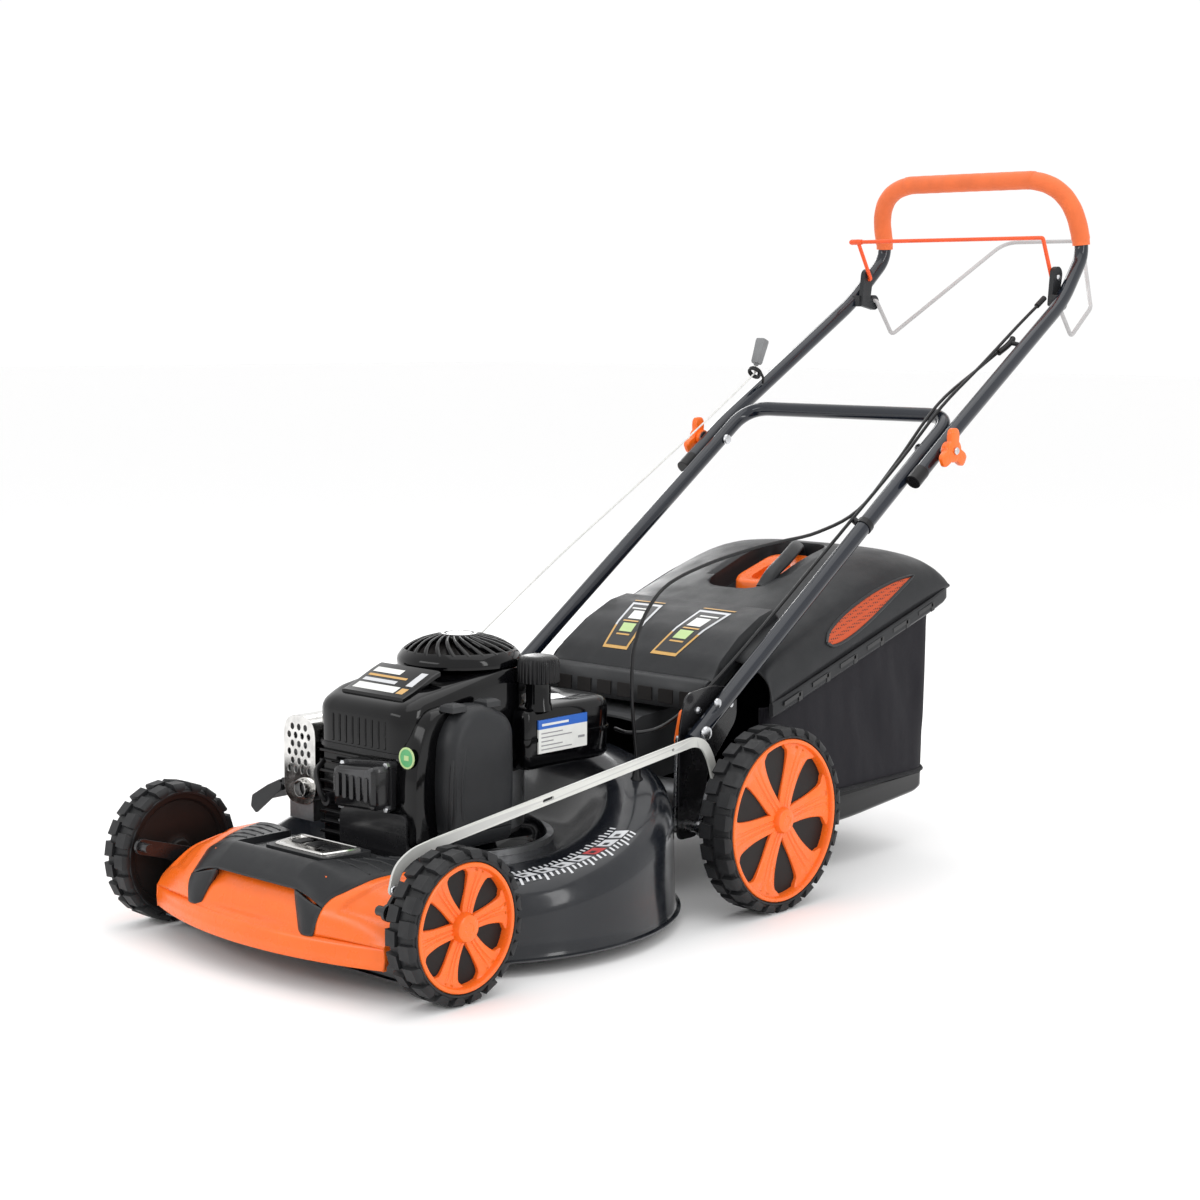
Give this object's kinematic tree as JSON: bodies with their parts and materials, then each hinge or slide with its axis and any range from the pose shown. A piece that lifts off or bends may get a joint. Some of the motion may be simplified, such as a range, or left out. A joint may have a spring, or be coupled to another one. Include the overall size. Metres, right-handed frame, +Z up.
{
  "type": "push lawn mower",
  "caption": "Petrol walk-behind lawn mower with steel deck, four-stroke engine, rear grass bag, folding tube handle, two bail levers and adjustable wheels.",
  "frame": {"origin": "on the ground at the middle of the mower's outline", "axes": "+Z up, -Y forwards towards the bumper, +X towards the operator's left side"},
  "size_m": [0.594, 1.7441, 1.0149],
  "materials": {
    "deck_paint": "satin graphite powder coat",
    "orange_plastic": "semi-gloss moulded orange",
    "dark_plastic": "fine-textured moulded plastic",
    "black_plastic": "gloss moulded black",
    "tube_paint": "gloss anthracite blue",
    "black_paint": "gloss black",
    "zinc": "zinc plated",
    "cast_alloy": "as cast",
    "tyre_rubber": "moulded tread",
    "bar_paint": "light grey paint",
    "bag_cloth": "woven polyester",
    "foam": "closed-cell foam",
    "coated_wire": "plastic-dipped wire",
    "belt_rubber": "wrapped V belt",
    "cable_sheath": "extruded sheath",
    "rope_cord": "braided cord",
    "filter_paper": "pleated paper",
    "ceramic": "glazed"
  },
  "bodies": {
    "chassis": {"deck": "deck_paint", "bumper": "orange_plastic", "carry_trim": "dark_plastic", "handle_brackets": "black_paint", "lower_handle": "tube_paint", "handle_bolts": "zinc", "rear_chute": "dark_plastic", "flap_rod": "zinc", "engine_block": "cast_alloy", "rocker_cover": "black_paint", "spark_plug": "ceramic", "carburettor": "cast_alloy", "air_filter_base": "black_plastic", "air_filter_element": "filter_paper", "blower_housing": "black_plastic", "starter_cover": "black_plastic", "muffler": "cast_alloy", "muffler_guard": "zinc", "fuel_tank": "black_plastic", "drive_belt": "belt_rubber", "brake_cable": "cable_sheath", "drive_cable": "cable_sheath", "starter_rope": "rope_cord"},
    "crank": {"crankshaft": "cast_alloy", "flywheel": "cast_alloy", "crank_pulley": "zinc", "blade": "zinc", "blade_bolt": "zinc"},
    "starter_drum": {"starter_pulley": "dark_plastic"},
    "filter_cover": {"air_filter_cover": "dark_plastic"},
    "tank_cap": {"fuel_cap": "dark_plastic"},
    "front_carrier": {"front_axle": "zinc"},
    "rear_carrier": {"rear_axle": "zinc", "gearbox": "cast_alloy", "height_lever": "orange_plastic"},
    "gear_input": {"gearbox_pulley": "zinc"},
    "link": {"link_bar": "bar_paint"},
    "wheel_front_left": {"front_left_tyre": "tyre_rubber", "front_left_wheel": "orange_plastic"},
    "wheel_front_right": {"front_right_tyre": "tyre_rubber", "front_right_wheel": "orange_plastic"},
    "wheel_rear_left": {"rear_left_tyre": "tyre_rubber", "rear_left_wheel": "orange_plastic"},
    "wheel_rear_right": {"rear_right_tyre": "tyre_rubber", "rear_right_wheel": "orange_plastic"},
    "flap": {"rear_flap": "dark_plastic"},
    "deflector": {"side_deflector": "dark_plastic"},
    "bag": {"bag_lid": "dark_plastic", "bag_insert": "orange_plastic", "bag_fabric": "bag_cloth", "bag_tray": "black_plastic"},
    "handle": {"upper_handle": "tube_paint", "foam_grip": "foam", "bail_brackets": "dark_plastic", "rope_guide": "dark_plastic"},
    "left_clamp": {"left_knob": "orange_plastic"},
    "right_clamp": {"right_knob": "orange_plastic"},
    "brake_lever": {"engine_brake_bail": "coated_wire"},
    "drive_lever": {"drive_bail": "zinc"},
    "pull_grip": {"starter_grip": "dark_plastic"}
  },
  "joints": [
    {"name": "blade_spin", "type": "hinge", "parent": "chassis", "child": "crank", "pos_m": [0, -0.511, 0.1], "axis": [0, 0, 1], "continuous": true},
    {"name": "starter_pull", "type": "slide", "parent": "handle", "child": "pull_grip", "axis": [0, 0.3746, 0.9272], "range_m": [0, 0.5], "stiffness_N_per_m": 8, "springref_m": -0.4},
    {"name": "starter_drum_spin", "type": "hinge", "parent": "chassis", "child": "starter_drum", "pos_m": [0, -0.511, 0.349], "axis": [0, 0, 1], "range_deg": [0, 900]},
    {"name": "filter_cover_off", "type": "slide", "parent": "chassis", "child": "filter_cover", "axis": [1, 0, 0], "range_m": [0, 0.06]},
    {"name": "fuel_cap_turn", "type": "hinge", "parent": "chassis", "child": "tank_cap", "pos_m": [0.1, -0.468, 0.33], "axis": [0, 0, 1], "range_deg": [0, 90]},
    {"name": "rear_height", "type": "hinge", "parent": "chassis", "child": "rear_carrier", "pos_m": [0, -0.27098, 0.111], "axis": [1, 0, 0], "range_deg": [-32, 0], "deforming": ["drive_belt"]},
    {"name": "front_height", "type": "hinge", "parent": "chassis", "child": "front_carrier", "pos_m": [0, -0.84298, 0.078], "axis": [1, 0, 0], "range_deg": [-32, 0]},
    {"name": "link_swing", "type": "hinge", "parent": "front_carrier", "child": "link", "pos_m": [0.2185, -0.82498, 0.132], "axis": [1, 0, 0], "range_deg": [0, 32]},
    {"name": "gear_input_spin", "type": "hinge", "parent": "rear_carrier", "child": "gear_input", "pos_m": [0.097, -0.173, 0.084], "axis": [0, 0, 1], "continuous": true},
    {"name": "front_left_spin", "type": "hinge", "parent": "front_carrier", "child": "wheel_front_left", "pos_m": [0.264, -0.773, 0.09], "axis": [1, 0, 0], "continuous": true},
    {"name": "front_right_spin", "type": "hinge", "parent": "front_carrier", "child": "wheel_front_right", "pos_m": [-0.264, -0.773, 0.09], "axis": [1, 0, 0], "continuous": true},
    {"name": "rear_left_spin", "type": "hinge", "parent": "rear_carrier", "child": "wheel_rear_left", "pos_m": [0.27, -0.201, 0.123], "axis": [1, 0, 0], "continuous": true},
    {"name": "rear_right_spin", "type": "hinge", "parent": "rear_carrier", "child": "wheel_rear_right", "pos_m": [-0.27, -0.201, 0.123], "axis": [1, 0, 0], "continuous": true},
    {"name": "flap_open", "type": "hinge", "parent": "chassis", "child": "flap", "pos_m": [0, -0.181, 0.262], "axis": [1, 0, 0], "range_deg": [0, 55], "stiffness_Nm_per_rad": 0.8, "springref_deg": -34.38},
    {"name": "deflector_lift", "type": "hinge", "parent": "chassis", "child": "deflector", "pos_m": [-0.228, -0.533, 0.162], "axis": [0, 1, 0], "range_deg": [0, 60], "stiffness_Nm_per_rad": 0.2, "springref_deg": -34.38},
    {"name": "bag_off", "type": "slide", "parent": "chassis", "child": "bag", "axis": [0, 1, 0], "range_m": [0, 0.3]},
    {"name": "handle_fold", "type": "hinge", "parent": "chassis", "child": "handle", "pos_m": [0, 0.247, 0.589], "axis": [1, 0, 0], "range_deg": [0, 150], "deforming": ["brake_cable", "drive_cable", "starter_rope"]},
    {"name": "left_knob_turn", "type": "hinge", "parent": "chassis", "child": "left_clamp", "pos_m": [0.235, 0.247, 0.589], "axis": [1, 0, 0], "range_deg": [0, 360]},
    {"name": "right_knob_turn", "type": "hinge", "parent": "chassis", "child": "right_clamp", "pos_m": [-0.235, 0.247, 0.589], "axis": [1, 0, 0], "range_deg": [0, 360]},
    {"name": "brake_bail_pull", "type": "hinge", "parent": "handle", "child": "brake_lever", "pos_m": [0, 0.613, 0.845], "axis": [1, 0, 0], "range_deg": [-55, 0], "stiffness_Nm_per_rad": 0.8, "springref_deg": 22.92},
    {"name": "drive_bail_pull", "type": "hinge", "parent": "handle", "child": "drive_lever", "pos_m": [0, 0.63, 0.81], "axis": [1, 0, 0], "range_deg": [0, 52], "stiffness_Nm_per_rad": 1, "springref_deg": -28.65}
  ],
  "couplings": [
    {"joint": "front_height", "follows": "rear_height", "ratio": 1},
    {"joint": "link_swing", "follows": "rear_height", "ratio": -1},
    {"joint": "gear_input_spin", "follows": "blade_spin", "ratio": 1.125},
    {"joint": "starter_drum_spin", "follows": "starter_pull", "rad_per_m": 31.25}
  ]
}
